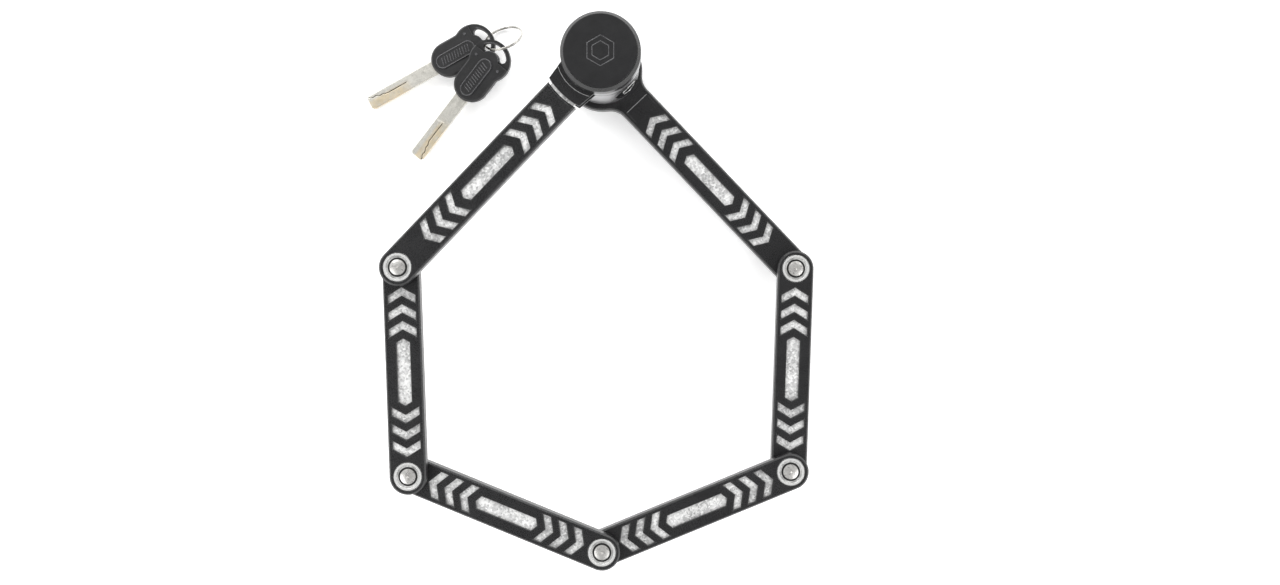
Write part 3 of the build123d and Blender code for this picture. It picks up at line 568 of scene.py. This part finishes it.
def carved_blade(number, place):
    """Blade with a zigzag line and a shallow flat milled into both faces."""
    low, high = blade_size(number, place)
    half, thick = (high.y - low.y) / 2, high.z - low.z
    level = (high.z + low.z) / 2
    side = 1 if number == 1 else -1

    def line(x):
        """Place of the milled line across the blade: zigzag at the tip, then straight."""
        share = (x - low.x) / BLADE_LENGTH
        zigzag = 0.10 * half * math.sin(62 * share) * max(0.0, 1 - share / ZIGZAG_SHARE)
        return side * (half * max(0.12, 0.80 - 2.3 * share) + zigzag)

    def fade(x):
        """1 along the milled part of the blade, 0 nearer to the head."""
        return min(1.0, max(0.0, MILLED_SHARE - (x - low.x) / BLADE_LENGTH) * 30)

    def groove(x, y):
        """1 in the fine milled line, 0 away from it."""
        return fade(x) / (1 + ((y - line(x)) / LINE_REACH) ** 4)

    def cut(x, y):
        """Depth of the milling: the fine line, and a shallow flat on its outer side."""
        flat = FLAT_DEPTH if (y - line(x)) * side < 0 else 0.0
        return max(LINE_DEPTH * groove(x, y), fade(x) * flat)

    def height(x, y, face):
        edge = max(0.0, abs(y) / half - EDGE_START) / (1 - EDGE_START)
        return face * (thick / 2 - cut(x, face * y) - EDGE_ROUND * edge ** 2)

    rings, painted_groove_shade = [], []
    for row in range(BLADE_ROWS):
        x = low.x + (high.x - low.x) * row / (BLADE_ROWS - 1)
        taper = min(1.0, TIP_WIDTH + (1 - TIP_WIDTH) * (x - low.x) / TIP_TAPER)
        ys = [half * taper * (2 * step / BLADE_COLUMNS - 1) for step in range(BLADE_COLUMNS + 1)]
        ring = [(x, y, level + height(x, y, 1)) for y in ys]
        ring += [(x, y, level + height(x, y, -1)) for y in reversed(ys)]
        rings.append([place @ Vector(p) for p in ring])
        painted_groove_shade += [groove(x, y) for y in ys] + [groove(x, -y) for y in reversed(ys)]
    heading = math.atan2(place[1][0], place[0][0])
    tip = tuple(place @ Vector((low.x, (low.y + high.y) / 2, low.z)))
    metal = key_nickel(f"key_nickel_{number}", tip, heading, *WORN_BAND)
    blade = solid(f"key_{number}_carved_blade", rings, metal, f"key_{number}")
    # The groove mask is stored on the points so that the material paints the milled line dark as shade.
    layer = blade.data.attributes.new("groove", "FLOAT", "POINT")
    layer.data.foreach_set("value", painted_groove_shade + [0.0, 0.0])
    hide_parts(f"key_{number}_blade")


def blade_size(number, place):
    """Lowest and highest corner of a blade in its key's own frame."""
    back = place.inverted()
    points = [back @ v.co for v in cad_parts[f"key_{number}_blade"].data.vertices]
    return (Vector([min(p[axis] for p in points) for axis in range(3)]),
            Vector([max(p[axis] for p in points) for axis in range(3)]))


def head_detail(number, place):
    """Bead round the oval panel, grip ribs inside it, a rim along the ring slot and two pips."""
    body, slot = f"key_{number}", "key_plastic"
    end = OVAL_LENGTH / 2 - OVAL_WIDTH / 2
    radius = OVAL_WIDTH / 2 - BEAD_INSET
    outline = arc((OVAL_MIDDLE + end, 0), radius, -90, 90, 15, OVAL_TOP)
    outline += arc((OVAL_MIDDLE - end, 0), radius, 90, 270, 15, OVAL_TOP)
    wires(f"key_{number}_bead", [[place @ p for p in outline]], BEAD_WIRE, BEAD_HIGHLIGHT_BLACK, body,
          cyclic=True)
    ribs = []
    for step in range(RIB_COUNT):
        x = OVAL_MIDDLE + (step - RIB_COUNT // 2) * RIB_STEP
        ribs.append([place @ Vector((x - RIB_LEAN, -RIB_HALF, OVAL_TOP)),
                     place @ Vector((x + RIB_LEAN, RIB_HALF, OVAL_TOP))])
    wires(f"key_{number}_ribs", ribs, RIB_WIRE, BEAD_HIGHLIGHT_BLACK, body)
    reach = SLOT_RADIUS + SLOT_WIDTH / 2 + RIM_GAP
    slot_rim = arc((CROWN_CENTRE, 0), reach, -SLOT_RIM_ANGLE, SLOT_RIM_ANGLE, 31, WEB_TOP)
    inner_rim = arc((CROWN_CENTRE, 0), WEB_START - RIM_SINK, -INNER_RIM_ANGLE, INNER_RIM_ANGLE, 31,
                    HEAD_THICK - RIM_SINK)
    wires(f"key_{number}_slot_rims", [[place @ p for p in run] for run in (slot_rim, inner_rim)],
          RIM_WIRE, BEAD_HIGHLIGHT_BLACK, body)
    pips = []
    for side in (-1, 1):
        foot = Vector((CROWN_CENTRE - PIP_BACK, side * PIP_SIDE, HEAD_THICK - PIP_SINK))
        pips.append([place @ foot, place @ (foot + Vector((0, 0, PIP_LENGTH)))])
    wires(f"key_{number}_pips", pips, PIP_WIRE, BEAD_HIGHLIGHT_BLACK, body)


def split_ring():
    """Two close turns of wire that cross over once, in the plane of the ring."""
    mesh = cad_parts["key_ring"].data
    middle = centre("key_ring")
    first = (mesh.vertices[0].co - middle).normalized()
    normal = max((first.cross(v.co - middle) for v in mesh.vertices), key=lambda n: n.length).normalized()
    second = normal.cross(first)
    reach = max((v.co - middle).length for v in mesh.vertices)
    radius = reach - CAD_WIRE
    path = []
    for step in range(RING_STEPS + 1):
        share = step / RING_STEPS
        angle = 2 * math.pi * RING_TURNS * share
        cross = min(1.0, max(0.0, (share - CROSS_START) / CROSS_SHARE))
        offset = RING_SPREAD * RING_WIRE * (2 * cross * cross * (3 - 2 * cross) - 1)
        spoke = math.cos(angle) * first + math.sin(angle) * second
        path.append(middle + radius * spoke + offset * normal)
    ring = wires("split_ring", [path], RING_WIRE, CHROME, "ring")
    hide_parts("key_ring")


face_emblem()
highlight_lines()
badge()
for key in (1, 2):
    key_place = key_frame(key)
    carved_blade(key, key_place)
    head_detail(key, key_place)
split_ring()


# ---------------------------------------------------------------- camera, light, floor

FOCAL = 30.07
SENSOR_WIDTH = 36.0
CAMERA_X = 0.0231
CAMERA_Y = -0.1409
CAMERA_ABOVE_TOP = 0.622
camera_data = bpy.data.cameras.new("camera")
camera_data.lens = FOCAL
camera_data.sensor_width = SENSOR_WIDTH
camera = bpy.data.objects.new("camera", camera_data)
camera.location = (CAMERA_X, CAMERA_Y, TOP_Z + CAMERA_ABOVE_TOP)
bpy.context.collection.objects.link(camera)
bpy.context.scene.camera = camera


def area_light(name, place, aim, size, power):
    data = bpy.data.lights.new(name, "AREA")
    data.shape = "RECTANGLE"
    data.size, data.size_y = size
    data.energy = power
    light = bpy.data.objects.new(name, data)
    light.location = place
    light.rotation_euler = (Vector(aim) - Vector(place)).to_track_quat("-Z", "Y").to_euler()
    bpy.context.collection.objects.link(light)


LOOP_MIDDLE = (0.0, -0.15, 0.02)
LIGHT_DISTANCE = 2.0
LIGHT_SIZE = (1.3, 0.9)
for name, heading, rise, power in (("back_left", 125, 42, 20.0), ("back_right", 55, 38, 16.0),
                                   ("front_right", -40, 38, 14.0), ("front_left", 215, 38, 14.0)):
    level = LIGHT_DISTANCE * math.cos(math.radians(rise))
    spot = (level * math.cos(math.radians(heading)), level * math.sin(math.radians(heading)),
            LIGHT_DISTANCE * math.sin(math.radians(rise)))
    area_light(name, spot, LOOP_MIDDLE, LIGHT_SIZE, power)

# The sky is bright at the horizon and dim overhead.
HORIZON_RISE = 0.15
OVERHEAD_RISE = 0.85
HORIZON_STRENGTH = 1.15
OVERHEAD_STRENGTH = 0.22
world = bpy.data.worlds.new("studio")
world.use_nodes = True
sky = world.node_tree
direction = sky.nodes.new("ShaderNodeTexCoord")
rise = sky.nodes.new("ShaderNodeSeparateXYZ")
sky.links.new(direction.outputs["Generated"], rise.inputs[0])
dim = sky.nodes.new("ShaderNodeMapRange")
sky_range = (HORIZON_RISE, OVERHEAD_RISE, HORIZON_STRENGTH, OVERHEAD_STRENGTH)
for socket, given in zip(dim.inputs[1:], sky_range):
    socket.default_value = given
sky.links.new(rise.outputs["Z"], dim.inputs[0])
sky.links.new(dim.outputs[0], sky.nodes["Background"].inputs["Strength"])
sky.nodes["Background"].inputs["Color"].default_value = (1.0, 1.0, 1.0, 1)
bpy.context.scene.world = world
bpy.context.scene.view_settings.view_transform = "Standard"

FLOOR_HALF = 4.0
floor_mesh = bpy.data.meshes.new("floor")
corners = [(x * FLOOR_HALF, y * FLOOR_HALF, 0) for x, y in ((-1, -1), (1, -1), (1, 1), (-1, 1))]
floor_mesh.from_pydata(corners, [], [(0, 1, 2, 3)])
floor = bpy.data.objects.new("floor", floor_mesh)
floor.data.materials.append(pale_floor("pale_floor"))
bpy.context.collection.objects.link(floor)
